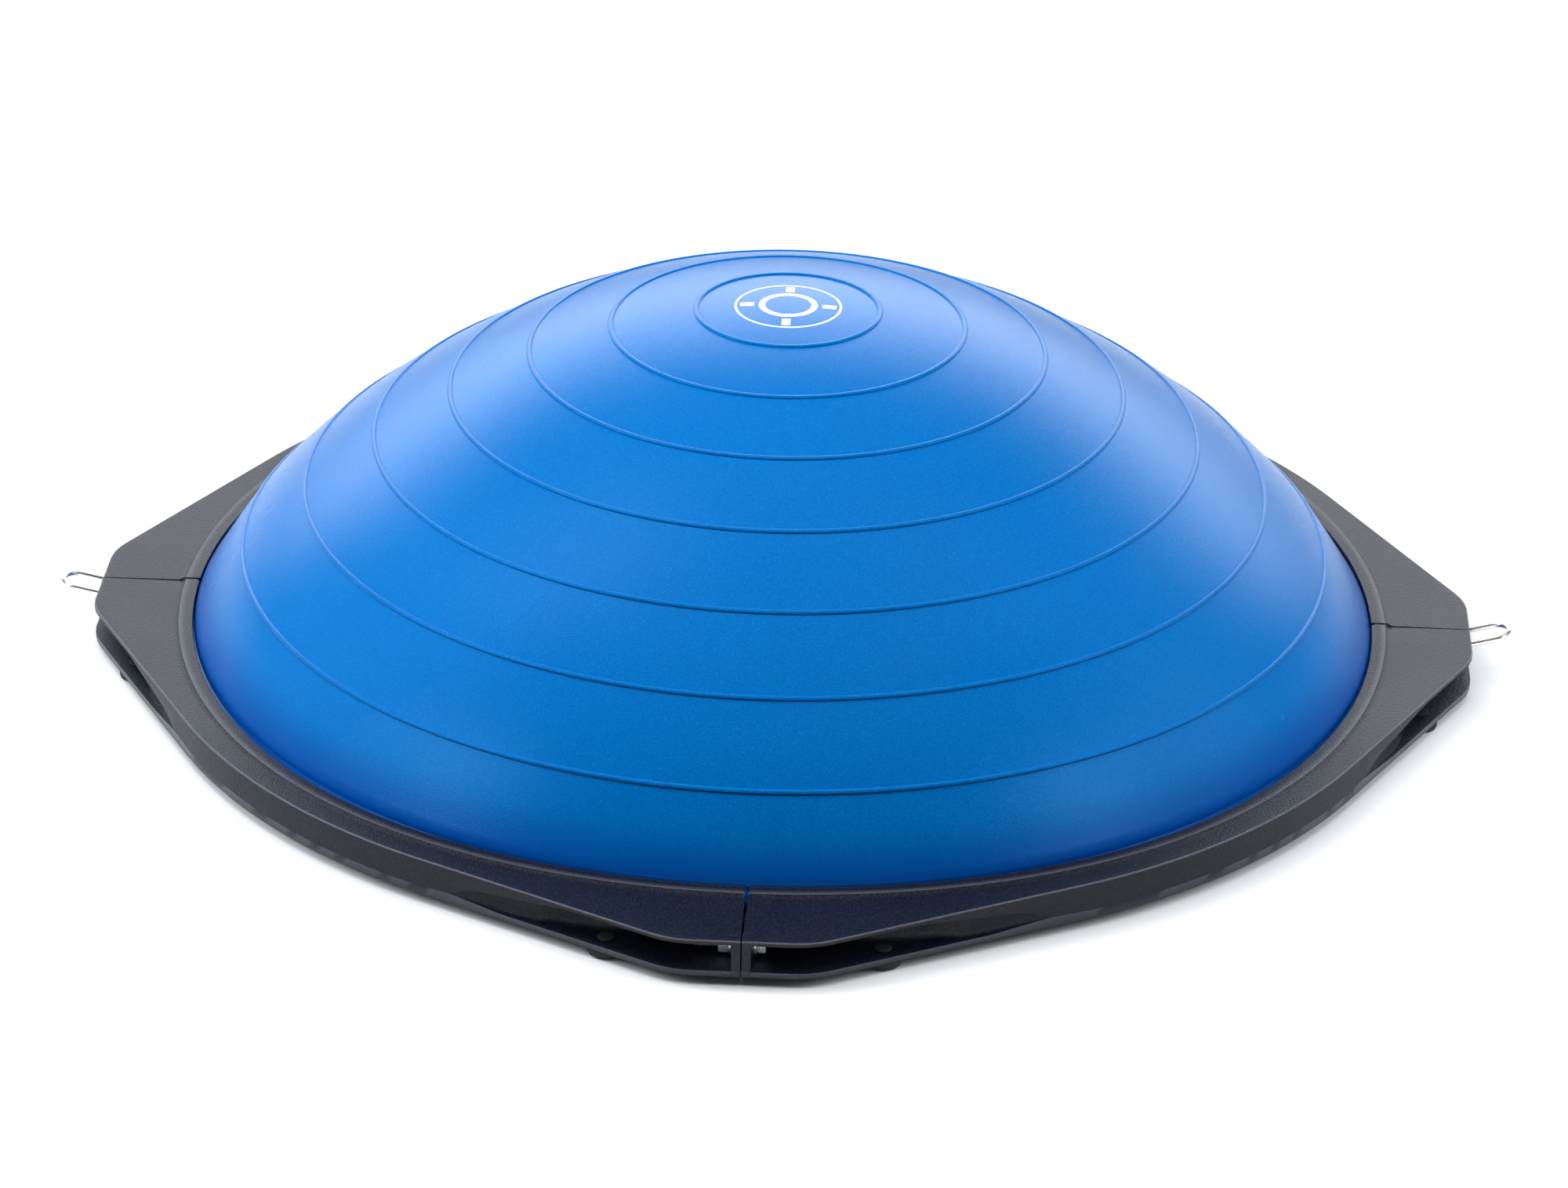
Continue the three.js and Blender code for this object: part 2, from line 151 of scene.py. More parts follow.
def spin_section(name, section, steps, sweep=360.0, closed=False):
    """Lays [radius, height] points in the XZ plane, in millimetres, and spins them about Z."""
    piece = numbered_ring(name, len(section))
    for corner, (r, z) in zip(piece.data.vertices, section):
        corner.co = (r * MM, 0, z * MM)
    bpy.ops.object.mode_set(mode="EDIT")
    if not closed:
        bpy.ops.mesh.select_mode(type="EDGE")
        bpy.ops.mesh.select_all(action="DESELECT")
        bpy.ops.object.mode_set(mode="OBJECT")
        for edge in piece.data.edges:
            edge.select = set(edge.vertices) == {0, len(section) - 1}
        bpy.ops.object.mode_set(mode="EDIT")
        bpy.ops.mesh.delete(type="EDGE_FACE")
    bpy.ops.mesh.select_mode(type="VERT")
    bpy.ops.mesh.select_all(action="SELECT")
    bpy.ops.mesh.spin(steps=steps, angle=math.radians(sweep), center=(0, 0, 0), axis=(0, 0, 1))
    bpy.ops.mesh.select_all(action="SELECT")
    bpy.ops.mesh.remove_doubles(threshold=SAME_PLACE)
    bpy.ops.mesh.normals_make_consistent(inside=False)
    bpy.ops.object.mode_set(mode="OBJECT")
    return piece


def smooth(piece, angle=40.0):
    bpy.ops.object.select_all(action="DESELECT")
    piece.select_set(True)
    bpy.context.view_layer.objects.active = piece
    bpy.ops.object.shade_smooth_by_angle(angle=math.radians(angle))


def curve_through(points, band, t):
    """A point on the even Catmull-Rom curve through the points, t of the way along a band."""
    last = len(points) - 1
    p0 = points[max(band - 1, 0)]
    p1, p2 = points[band], points[band + 1]
    p3 = points[min(band + 2, last)]
    out = []
    for a, b, c, d in zip(p0, p1, p2, p3):
        v0, v1 = (c - a) * 0.5, (d - b) * 0.5
        cubic, square = 2 * b - 2 * c + v0 + v1, -3 * b + 3 * c - 2 * v0 - v1
        out.append(cubic * t**3 + square * t**2 + v0 * t + b)
    return out


def dome_section():
    """The dome's skin from its top to its foot, with a rounded rib at each rib's place."""
    ribs = list(zip(RIB_RADII, RIB_HEIGHTS))
    half = [(0.0, APEX), *ribs, (DOME_FOOT_R, 0.0)]
    points = [(-r, z) for r, z in reversed(half[1:])] + half
    first = len(half) - 1
    dense = []
    for band in range(len(half) - 1):
        for i in range(CURVE_STEPS):
            dense.append(curve_through(points, first + band, i / CURVE_STEPS))
    dense.append([DOME_FOOT_R, 0.0])
    length = [0.0]
    for p, q in zip(dense, dense[1:]):
        length.append(length[-1] + math.dist(p, q))
    rib_places = [length[CURVE_STEPS * (i + 1)] for i in range(len(ribs))]
    last = len(length) - 1

    def at(s):
        """The point s millimetres along the skin, and the way out of the skin there."""
        i = min(max(next((k for k, v in enumerate(length) if v > s), last), 1), last)
        share = (s - length[i - 1]) / (length[i] - length[i - 1])
        p, q = dense[i - 1], dense[i]
        along = Vector((q[0] - p[0], q[1] - p[1])).normalized()
        return Vector(p).lerp(Vector(q), share), Vector((-along.y, along.x))

    marks = []
    edges = [0.0, *rib_places, length[-1]]
    for start, end in zip(edges, edges[1:]):
        low = start + (RIB_HALF_WIDTH + RIB_CLEAR if start > 0 else 0.0)
        high = end - (RIB_HALF_WIDTH + RIB_CLEAR if end < length[-1] else 0.0)
        marks += [(low + (high - low) * i / BAND_STEPS, 0.0) for i in range(BAND_STEPS + 1)]
        if end < length[-1]:
            for i in range(RIB_STEPS + 1):
                turn = math.pi * i / RIB_STEPS
                rise = RIB_PROUD * math.sin(turn) ** RIB_FULLNESS
                marks.append((end - RIB_HALF_WIDTH * math.cos(turn), rise))
    section = []
    for s, rise in marks:
        p, normal = at(s)
        p = p + normal * rise
        section.append((max(p.x, 0.0), LIP_TOP + p.y))
    section[0] = (0.0, LIP_TOP + APEX)
    return section


NECK_SECTION = [
    (305.3, 24.0), (305.4, 22.4), (306.2, 21.5), (308.0, 21.35), (313.8, 21.35), (314.7, 21.0),
    (315.0, 20.2), (315.0, 17.4), (314.6, 16.6), (313.6, 16.3), (290.0, 16.3), (0.0, 16.3),
]
dome = spin_section("dome_skin", dome_section() + NECK_SECTION, DOME_TURNS)
smooth(dome, 38)


def new_finish(name):
    material = bpy.data.materials.new(name)
    material.use_nodes = True
    tree = material.node_tree
    return material, tree, tree.nodes["Principled BSDF"]


def add_node(tree, kind, place=(0, 0), **settings):
    node = tree.nodes.new(kind)
    node.location = place
    for key, value in settings.items():
        setattr(node, key, value)
    return node


def build_grain_group():
    """Moulded grain: pits and flecks that vary the colour, the gloss and the surface's relief."""
    group = bpy.data.node_groups.new("moulded_grain", "ShaderNodeTree")
    sockets = group.interface
    for name, kind, value in (
        ("Colour", "NodeSocketColor", (0.5, 0.5, 0.5, 1)),
        ("Fleck Colour", "NodeSocketColor", (0.6, 0.6, 0.6, 1)),
        ("Fleck Amount", "NodeSocketFloat", 0.3),
        ("Grain Scale", "NodeSocketFloat", 900.0),
        ("Cloud Scale", "NodeSocketFloat", 14.0),
        ("Cloud Amount", "NodeSocketFloat", 0.1),
        ("Roughness", "NodeSocketFloat", 0.5),
        ("Roughness Spread", "NodeSocketFloat", 0.1),
        ("Relief", "NodeSocketFloat", 0.2),
        ("Relief Depth", "NodeSocketFloat", 0.0002),
    ):
        socket = sockets.new_socket(name=name, in_out="INPUT", socket_type=kind)
        socket.default_value = value
    for name, kind in (
        ("Colour", "NodeSocketColor"),
        ("Roughness", "NodeSocketFloat"),
        ("Normal", "NodeSocketVector"),
    ):
        sockets.new_socket(name=name, in_out="OUTPUT", socket_type=kind)
    enter = add_node(group, "NodeGroupInput", (-900, 0))
    leave = add_node(group, "NodeGroupOutput", (700, 0))
    where = add_node(group, "ShaderNodeTexCoord", (-900, -400))
    grain = add_node(group, "ShaderNodeTexNoise", (-640, -160))
    grain.inputs["Detail"].default_value = 3.0
    grain.inputs["Roughness"].default_value = 0.62
    cloud = add_node(group, "ShaderNodeTexNoise", (-640, -420))
    cloud.inputs["Detail"].default_value = 4.0
    link = group.links.new
    link(where.outputs["Object"], grain.inputs["Vector"])
    link(where.outputs["Object"], cloud.inputs["Vector"])
    link(enter.outputs["Grain Scale"], grain.inputs["Scale"])
    link(enter.outputs["Cloud Scale"], cloud.inputs["Scale"])
    fleck = add_node(group, "ShaderNodeMapRange", (-400, -60))
    fleck.inputs["From Min"].default_value = 0.46
    fleck.inputs["From Max"].default_value = 0.64
    link(grain.outputs["Fac"], fleck.inputs["Value"])
    fleck_share = add_node(group, "ShaderNodeMath", (-200, -60), operation="MULTIPLY")
    link(fleck.outputs["Result"], fleck_share.inputs[0])
    link(enter.outputs["Fleck Amount"], fleck_share.inputs[1])
    flecked = add_node(group, "ShaderNodeMix", (0, 120), data_type="RGBA")
    link(fleck_share.outputs[0], flecked.inputs["Factor"])
    link(enter.outputs["Colour"], flecked.inputs["A"])
    link(enter.outputs["Fleck Colour"], flecked.inputs["B"])
    cloud_centre = add_node(group, "ShaderNodeMath", (-400, -420), operation="SUBTRACT")
    cloud_centre.inputs[1].default_value = 0.5
    link(cloud.outputs["Fac"], cloud_centre.inputs[0])
    cloud_value = add_node(group, "ShaderNodeMath", (-200, -420), operation="MULTIPLY_ADD")
    cloud_value.inputs[2].default_value = 1.0
    link(cloud_centre.outputs[0], cloud_value.inputs[0])
    link(enter.outputs["Cloud Amount"], cloud_value.inputs[1])
    clouded = add_node(group, "ShaderNodeHueSaturation", (220, 120))
    link(flecked.outputs["Result"], clouded.inputs["Color"])
    link(cloud_value.outputs[0], clouded.inputs["Value"])
    link(clouded.outputs["Color"], leave.inputs["Colour"])
    gloss = add_node(group, "ShaderNodeMath", (0, -240), operation="MULTIPLY_ADD")
    link(cloud_centre.outputs[0], gloss.inputs[0])
    link(enter.outputs["Roughness Spread"], gloss.inputs[1])
    link(enter.outputs["Roughness"], gloss.inputs[2])
    link(gloss.outputs[0], leave.inputs["Roughness"])
    bump = add_node(group, "ShaderNodeBump", (220, -300))
    link(grain.outputs["Fac"], bump.inputs["Height"])
    link(enter.outputs["Relief"], bump.inputs["Strength"])
    link(enter.outputs["Relief Depth"], bump.inputs["Distance"])
    link(bump.outputs["Normal"], leave.inputs["Normal"])
    return group


grain_group = build_grain_group()


def add_grain(tree, **values):
    node = add_node(tree, "ShaderNodeGroup", (-300, 100), node_tree=grain_group)
    for name, value in values.items():
        node.inputs[name.replace("_", " ")].default_value = value
    return node


def feed(tree, shader, grain, outputs=("Colour", "Roughness", "Normal")):
    """Links the grain's outputs to the shader's sockets of the same use."""
    for output in outputs:
        socket = "Base Color" if output == "Colour" else output
        tree.links.new(grain.outputs[output], shader.inputs[socket])


VINYL_BLUE = (0.0, 0.122, 0.410, 1)
VINYL_PALE = (0.0, 0.205, 0.590, 1)
# Painted shade: the darker blue laid on the skin just above the ring's lip.
VINYL_PAINTED_SHADE = (0.0, 0.062, 0.300, 1)
PRINT_WHITE = (0.86, 0.88, 0.90, 1)
# Where the painted shade beside the ring's lip ends and where the centre mark lies, in metres.
PAINTED_SHADE_BELOW, PAINTED_SHADE_GONE = 0.024, 0.050
MARK_INNER = (0.0118, 0.0150)
MARK_OUTER = (0.0262, 0.0274)
MARK_BAR_REACH = (0.0175, 0.0245)
MARK_BAR_HALF_WIDTH = 0.0022
MARK_HEIGHTS = (0.185, 0.205)

vinyl, tree, shader = new_finish("satin_blue_vinyl")
grain = add_grain(
    tree, Colour=VINYL_BLUE, Fleck_Colour=VINYL_PALE, Fleck_Amount=0.6,
    Grain_Scale=1400.0, Cloud_Scale=9.0, Cloud_Amount=0.10,
    Roughness=0.26, Roughness_Spread=0.10, Relief=0.34, Relief_Depth=0.00030,
)
place = add_node(tree, "ShaderNodeTexCoord", (-1500, -300))
split = add_node(tree, "ShaderNodeSeparateXYZ", (-1320, -300))
tree.links.new(place.outputs["Object"], split.inputs[0])
flat = add_node(tree, "ShaderNodeCombineXYZ", (-1140, -300))
tree.links.new(split.outputs["X"], flat.inputs["X"])
tree.links.new(split.outputs["Y"], flat.inputs["Y"])
reach = add_node(tree, "ShaderNodeVectorMath", (-960, -300), operation="LENGTH")
tree.links.new(flat.outputs[0], reach.inputs[0])


def between(tree, value, low, high, soft=0.00012):
    """A mask that is 1 where the value lies between low and high."""
    rise = add_node(tree, "ShaderNodeMapRange", (-760, -200))
    rise.inputs["From Min"].default_value = low - soft
    rise.inputs["From Max"].default_value = low + soft
    fall = add_node(tree, "ShaderNodeMapRange", (-760, -460))
    fall.inputs["From Min"].default_value = high + soft
    fall.inputs["From Max"].default_value = high - soft
    both = add_node(tree, "ShaderNodeMath", (-580, -300), operation="MULTIPLY")
    tree.links.new(value, rise.inputs["Value"])
    tree.links.new(value, fall.inputs["Value"])
    tree.links.new(rise.outputs["Result"], both.inputs[0])
    tree.links.new(fall.outputs["Result"], both.inputs[1])
    return both.outputs[0]


def joined(tree, kind, a, b):
    node = add_node(tree, "ShaderNodeMath", (-420, -300), operation=kind)
    tree.links.new(a, node.inputs[0])
    tree.links.new(b, node.inputs[1])
    return node.outputs[0]


# The white centre mark: two thin rings, and four bars that point to the ring's corners.
inner_ring = between(tree, reach.outputs["Value"], *MARK_INNER)
outer_ring = between(tree, reach.outputs["Value"], *MARK_OUTER)
bar_reach = between(tree, reach.outputs["Value"], *MARK_BAR_REACH)
bar_x = between(tree, split.outputs["X"], -MARK_BAR_HALF_WIDTH, MARK_BAR_HALF_WIDTH)
bar_y = between(tree, split.outputs["Y"], -MARK_BAR_HALF_WIDTH, MARK_BAR_HALF_WIDTH)
bars = joined(tree, "MULTIPLY", bar_reach, joined(tree, "MAXIMUM", bar_x, bar_y))
mark = joined(tree, "MAXIMUM", joined(tree, "MAXIMUM", inner_ring, outer_ring), bars)
top_only = between(tree, split.outputs["Z"], *MARK_HEIGHTS)
mark = joined(tree, "MULTIPLY", mark, top_only)
printed = add_node(tree, "ShaderNodeMix", (-40, 200), data_type="RGBA")
printed.inputs["B"].default_value = PRINT_WHITE
tree.links.new(mark, printed.inputs["Factor"])
# The blue is darkened in the last 25 mm above the ring's lip: painted shade, where the skin turns down into
# the gap by the lip.
painted_shade_fade = add_node(tree, "ShaderNodeMapRange", (-260, 420), interpolation_type="SMOOTHSTEP")
painted_shade_fade.inputs["From Min"].default_value = PAINTED_SHADE_GONE
painted_shade_fade.inputs["From Max"].default_value = PAINTED_SHADE_BELOW
painted_shade_mix = add_node(tree, "ShaderNodeMix", (-160, 300), data_type="RGBA")
painted_shade_mix.inputs["B"].default_value = VINYL_PAINTED_SHADE
tree.links.new(split.outputs["Z"], painted_shade_fade.inputs["Value"])
tree.links.new(painted_shade_fade.outputs["Result"], painted_shade_mix.inputs["Factor"])
tree.links.new(grain.outputs["Colour"], painted_shade_mix.inputs["A"])
tree.links.new(painted_shade_mix.outputs["Result"], printed.inputs["A"])
tree.links.new(printed.outputs["Result"], shader.inputs["Base Color"])
feed(tree, shader, grain, ("Roughness", "Normal"))
shader.inputs["Specular IOR Level"].default_value = 0.17
shader.inputs["Specular Tint"].default_value = (0.16, 0.50, 0.9, 1)
shader.inputs["Sheen Weight"].default_value = 0.02
shader.inputs["Sheen Roughness"].default_value = 0.34
shader.inputs["Sheen Tint"].default_value = (0.86, 0.93, 1.0, 1)
dome.data.materials.append(vinyl)
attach(dome, "base")
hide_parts("dome_bladder")

# ---- clamp ring ----------------------------------------------------------------------------
# Four alike quarters of black grained plastic, bolted end to end. Each is a channel: a top plate
# with a raised lip, a lower plate, and a wall whose ends are scooped into hand slots.

RING_R = 330.5
END_R = 357.5
FLANK = math.radians(28.4)
CORNER_ROUND = 40.0
OPENING_R = 308.3
OPENING_SQUARING = 2.2
LIP_WIDTH = 7.5
LEDGE_R = 295.0
RING_UNDER, LOWER_TOP, UPPER_UNDER, RING_TOP = 4.6, 7.9, 21.7, 24.0
LIP_INNER_ROUND, LIP_OUTER_ROUND = 1.0, 0.7
TOP_EDGE_ROUND, LOWER_EDGE_ROUND, SLOT_EDGE_ROUND = 0.9, 0.6, 0.35
LIP_FOOT = ((1.7, 0.15), (2.2, 0.0), (3.0, 0.0))    # out from the lip, up from the top plate
LEDGE_CHAMFER = 0.4
SEAM_CHAMFER = 1.6
WALL_IN_R = 327.6
POCKET_WALL_R = 329.2
SEAM_OUTER, SEAM_INNER = 0.35, 0.9
SEAM_OFFSETS = (0.0, 0.22, 0.55, 1.0, 1.6, 2.8, 4.2, 4.75, 5.15, 7.4)
FIRST_ANGLE, LAST_ANGLE, ANGLE_STEPS = 2.0, 88.0, 86
POCKET_POINTS = 14

corner_cx = END_R - CORNER_ROUND
corner_cy = (RING_R - CORNER_ROUND - math.cos(FLANK) * corner_cx) / math.sin(FLANK)


def ramp(x, points):
    """The value at x on straight lines through (x, value) points, held level past both ends."""
    if x <= points[0][0]:
        return points[0][1]
    for (x0, v0), (x1, v1) in zip(points, points[1:]):
        if x <= x1:
            return v0 + (v1 - v0) * (x - x0) / (x1 - x0)
    return points[-1][1]


def edge_reach(a):
    """Distance from the middle to the ring's outer edge, at angle a from a corner."""
    end = math.atan2(corner_cy, END_R)
    turn = math.atan2(
        corner_cy + CORNER_ROUND * math.sin(FLANK), corner_cx + CORNER_ROUND * math.cos(FLANK)
    )
    if a < end:
        return END_R / math.cos(a)
    if a < turn:
        u = math.cos(a) * corner_cx + math.sin(a) * corner_cy
        return u + math.sqrt(u * u - corner_cx**2 - corner_cy**2 + CORNER_ROUND**2)
    if a < FLANK:
        return RING_R / math.cos(a - FLANK)
    return RING_R


def fillet(cx, cz, radius, start, end, count):
    """Points on an arc round (cx, cz), from one angle in degrees to another."""
    out = []
    for i in range(count):
        t = math.radians(start + (end - start) * i / (count - 1))
        out.append((cx + radius * math.cos(t), cz + radius * math.sin(t)))
    return out


# A hand slot's upper and lower edge, and its shape, as (degrees from the corner, value) points.
POCKET_TOP = (
    (14.5, UPPER_UNDER), (18.75, 18.6), (22.2, 16.6), (23.6, 15.2), (25.0, 11.9), (25.6, 10.6), (30.0, 11.6),
)
POCKET_LOW = ((20.4, LOWER_TOP), (23.5, 9.3), (25.0, 10.0), (25.6, 10.3), (30.0, 9.3))
POCKET_DEPTH = ((16.2, 1.0), (17.6, 0.0))
POCKET_SCOOP = ((16.0, 5.2), (21.0, 3.4), (24.0, 1.6), (25.5, 0.0))
POCKET_EDGING = ((23.5, 1.0), (25.5, 0.0))
POCKET_BOXY = ((17.0, 0.42), (24.0, 0.8))
FLANGE_FILL = ((4.2, 0.0), (4.75, 0.22), (5.15, 1.0))    # by millimetres from the seam


def quarter_section(degrees, off):
    """The closed section at an angle from the corner, or off millimetres from the seam."""
    a = math.radians(degrees)
    opening = OPENING_R - OPENING_SQUARING * math.cos(4 * a)
    if off is not None and off < SEAM_CHAMFER:
        opening += SEAM_CHAMFER * (1 - math.sqrt(1 - (1 - off / SEAM_CHAMFER) ** 2))
    edge = edge_reach(a)
    high, low = ramp(degrees, POCKET_TOP), ramp(degrees, POCKET_LOW)
    depth = ramp(degrees, POCKET_DEPTH)
    scoop = ramp(degrees, POCKET_SCOOP)
    pocket = depth * (edge - POCKET_WALL_R) + (1 - depth) * min(scoop, edge - POCKET_WALL_R)
    edging = ramp(degrees, POCKET_EDGING)
    if off is not None:
        filled = ramp(off, FLANGE_FILL)
        pocket *= filled
        edging *= filled
    boxy = ramp(degrees, POCKET_BOXY)
    lip_out = opening + LIP_WIDTH
    rim = SLOT_EDGE_ROUND * edging
    section = [(opening, UPPER_UNDER), (opening, 23.2)]
    section += fillet(opening + LIP_INNER_ROUND, LIP_TOP - LIP_INNER_ROUND, LIP_INNER_ROUND, 180, 90, 5)
    section += [(opening + 4, LIP_TOP)]
    section += fillet(lip_out - LIP_OUTER_ROUND, LIP_TOP - LIP_OUTER_ROUND, LIP_OUTER_ROUND, 90, 40, 4)
    section += [(lip_out + out, RING_TOP + up) for out, up in LIP_FOOT]
    section += [(lip_out + 0.6 + (edge - 1.5 - lip_out) * t, RING_TOP) for t in (0.5, 0.92)]
    section += fillet(edge - TOP_EDGE_ROUND, RING_TOP - TOP_EDGE_ROUND, TOP_EDGE_ROUND, 90, 0, 5)
    section += fillet(edge - rim, high + rim, rim, 0, -90, 3)
    for i in range(1, POCKET_POINTS - 1):
        t = math.pi * i / (POCKET_POINTS - 1)
        rise = math.copysign(abs(math.cos(t)) ** boxy, math.cos(t))
        inward = math.sin(t) ** boxy
        middle, half = (high + low) / 2, (high - low) / 2
        r = edge - rim - (pocket - rim) * inward if pocket > rim else edge - rim * inward
        section.append((r, middle + half * rise))
    section += fillet(edge - rim, low - rim, rim, 90, 0, 3)
    section += fillet(edge - LOWER_EDGE_ROUND, RING_UNDER + LOWER_EDGE_ROUND, LOWER_EDGE_ROUND, 0, -90, 4)
    section += [
        (edge - 6, RING_UNDER), (LEDGE_R + LEDGE_CHAMFER, RING_UNDER), (LEDGE_R, RING_UNDER + LEDGE_CHAMFER),
        (LEDGE_R, LOWER_TOP - LEDGE_CHAMFER), (LEDGE_R + LEDGE_CHAMFER, LOWER_TOP), (WALL_IN_R, LOWER_TOP),
        (WALL_IN_R, UPPER_UNDER),
    ]
    return section


# How much each rounded edge is lightened, a painted highlight along it, and made glossier, by the number of
# its corner in the section.
EDGE_PAINTED_HIGHLIGHT = {
    3: 0.3, 4: 0.5, 5: 0.4,
    8: 0.4, 9: 0.6, 10: 0.5,
    18: 0.7, 19: 1.0, 20: 0.8,
    38: 0.8, 39: 0.9, 40: 0.5,
}

# Where the section stands along a quarter: (degrees from one corner, millimetres from the seam).
angle_step = (LAST_ANGLE - FIRST_ANGLE) / ANGLE_STEPS
stations = [(0.0, off) for off in SEAM_OFFSETS]
stations += [(FIRST_ANGLE + angle_step * i, None) for i in range(ANGLE_STEPS + 1)]
stations += [(90.0, off) for off in reversed(SEAM_OFFSETS)]


def station_point(station, rail):
    """Where a numbered corner of the section goes at a station, in metres."""
    degrees, off = station
    from_corner = min(degrees, 90 - degrees)
    r, z = quarter_section(from_corner, off)[rail]
    a = math.radians(from_corner)
    if off is not None:
        seam = SEAM_INNER + (SEAM_OUTER - SEAM_INNER) * (r - OPENING_R) / (END_R - OPENING_R)
        away = seam + off
        x, y = math.sqrt(max(r * r - away * away, 0)) if off > 5 else r, away
    else:
        x, y = r * math.cos(a), r * math.sin(a)
    if degrees > 45:
        x, y = y, x
    return x * MM, y * MM, z * MM


quarter = spin_section("ring_quarter", quarter_section(10, None), len(stations) - 1, 90.0, closed=True)
rails = [0] * len(quarter.data.vertices)
quarter.data.attributes["rail"].data.foreach_get("value", rails)
# Each corner's share of the painted highlight, and of the extra gloss, on the rounded edges.
edge_highlight = quarter.data.attributes.new("edge_painted_highlight", "FLOAT", "POINT")
edge_highlight.data.foreach_set("value", [EDGE_PAINTED_HIGHLIGHT.get(rail, 0.0) for rail in rails])
for corner, rail in zip(quarter.data.vertices, rails):
    turn = abs(math.degrees(math.atan2(corner.co.y, corner.co.x)))
    station = stations[round(turn / 90.0 * (len(stations) - 1))]
    corner.co = station_point(station, rail)
bpy.ops.object.mode_set(mode="EDIT")
bpy.ops.mesh.select_mode(type="VERT")
bpy.ops.mesh.select_all(action="SELECT")
bpy.ops.mesh.remove_doubles(threshold=2 * SAME_PLACE)
bpy.ops.mesh.select_all(action="SELECT")
bpy.ops.mesh.fill_holes(sides=0)
bpy.ops.mesh.select_all(action="SELECT")
bpy.ops.mesh.normals_make_consistent(inside=False)
bpy.ops.object.mode_set(mode="OBJECT")

ring_plastic, tree, shader = new_finish("grained_black_plastic")
RING_CHARCOAL = (0.0022, 0.0036, 0.0100, 1)
RING_FLECK = (0.014, 0.017, 0.031, 1)
# A painted highlight: the rounded edges' colour is drawn towards this lighter grey, and their roughness is
# lowered by the gloss below.
RING_PAINTED_HIGHLIGHT = (0.105, 0.115, 0.140, 1)
EDGE_HIGHLIGHT_GLOSS = 0.16
grain = add_grain(
    tree, Colour=RING_CHARCOAL, Fleck_Colour=RING_FLECK, Fleck_Amount=0.8,
    Grain_Scale=950.0, Cloud_Scale=11.0, Cloud_Amount=0.35,
    Roughness=0.42, Roughness_Spread=0.16, Relief=0.9, Relief_Depth=0.00060,
)
edge_highlight_mask = add_node(tree, "ShaderNodeAttribute", (-760, 420), attribute_name="edge_painted_highlight")
painted_highlight_mix = add_node(tree, "ShaderNodeMix", (-60, 300), data_type="RGBA")
painted_highlight_mix.inputs["B"].default_value = RING_PAINTED_HIGHLIGHT
tree.links.new(edge_highlight_mask.outputs["Fac"], painted_highlight_mix.inputs["Factor"])
tree.links.new(grain.outputs["Colour"], painted_highlight_mix.inputs["A"])
tree.links.new(painted_highlight_mix.outputs["Result"], shader.inputs["Base Color"])
glossier = add_node(tree, "ShaderNodeMath", (-60, 60), operation="MULTIPLY_ADD", use_clamp=True)
glossier.inputs[1].default_value = -EDGE_HIGHLIGHT_GLOSS
tree.links.new(edge_highlight_mask.outputs["Fac"], glossier.inputs[0])
tree.links.new(grain.outputs["Roughness"], glossier.inputs[2])
tree.links.new(glossier.outputs[0], shader.inputs["Roughness"])
feed(tree, shader, grain, ("Normal",))
shader.inputs["Specular IOR Level"].default_value = 0.27
quarter.data.materials.append(ring_plastic)
smooth(quarter, 35)


def turned_copy(piece, name, degrees):
    """A copy with its own mesh, turned about the trainer's middle."""
    twin = piece.copy()
    twin.data = piece.data.copy()
    twin.name = twin.data.name = name
    twin.data.transform(Matrix.Rotation(math.radians(degrees), 4, "Z"))
    bpy.context.scene.collection.objects.link(twin)
    return twin


QUARTER_TURNS = {"back_right": 0, "back_left": 90, "front_left": 180, "front_right": 270}
for place_name, degrees in QUARTER_TURNS.items():
    piece = turned_copy(quarter, f"quarter_{place_name}", degrees)
    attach(piece, "base")
    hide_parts(f"ring_{place_name}")
bpy.data.objects.remove(quarter)

# ---- corner bolts, nuts and washers --------------------------------------------------------
# Zinc-plated M6 hexagon bolts through the quarters' end flanges, each with a washer under its
# head and another under its nut. The thread's free end shows inside the hand slot.

BOLT_R, BOLT_Z = 340.0, 14.8
SHANK_R, THREAD_ROOT_R, THREAD_PITCH = 3.0, 2.55, 1.0
THREAD_FORM = ((THREAD_ROOT_R, 0.12), (SHANK_R, 0.45), (SHANK_R, 0.60), (THREAD_ROOT_R, 0.93))
HEX_R = 5.77
HEAD_HEIGHT, NUT_HEIGHT = 4.0, 4.7
BOLT_LENGTH = 30.0
WASHER_R, WASHER_HOLE_R, WASHER_HEIGHT = 6.0, 3.3, 1.2
RIM_EDGE, HOLE_EDGE = 0.2, 0.1           # the washers' small chamfers
FLANGE, GAP, WIRE_R = 5.0, 0.3, 1.5
HEX_FACE_R, HEX_CONE_R, HEX_CONE_HEIGHT, HEX_BEVEL = 5.15, 5.95, 0.55, 0.18
HEAD_TURN, NUT_TURN = 11.0, 23.0         # degrees that each hexagon is left turned
NUT_BORE_R, NUT_MOUTH_R = 3.15, 3.9
CORNER_TURNS = {"front": -90.0, "right": 0.0, "back": 90.0, "left": 180.0}


def place_on_bolt(piece, corner_name):
    """Puts a piece made along Z on a corner's bolt, whose head points to local +Y."""
    along_y = Matrix.Rotation(math.radians(-90), 4, "X")
    spot = Matrix.Translation((BOLT_R * MM, 0, BOLT_Z * MM))
    turn = Matrix.Rotation(math.radians(CORNER_TURNS[corner_name]), 4, "Z")
    piece.data.transform(turn @ spot @ along_y)


def modified(piece, kind, **settings):
    """Adds a modifier, sets it, and applies it."""
    bpy.ops.object.select_all(action="DESELECT")
    piece.select_set(True)
    bpy.context.view_layer.objects.active = piece
    modifier = piece.modifiers.new(kind.lower(), kind)
    for key, value in settings.items():
        setattr(modifier, key, value)
    bpy.ops.object.modifier_apply(modifier=modifier.name)
    return piece


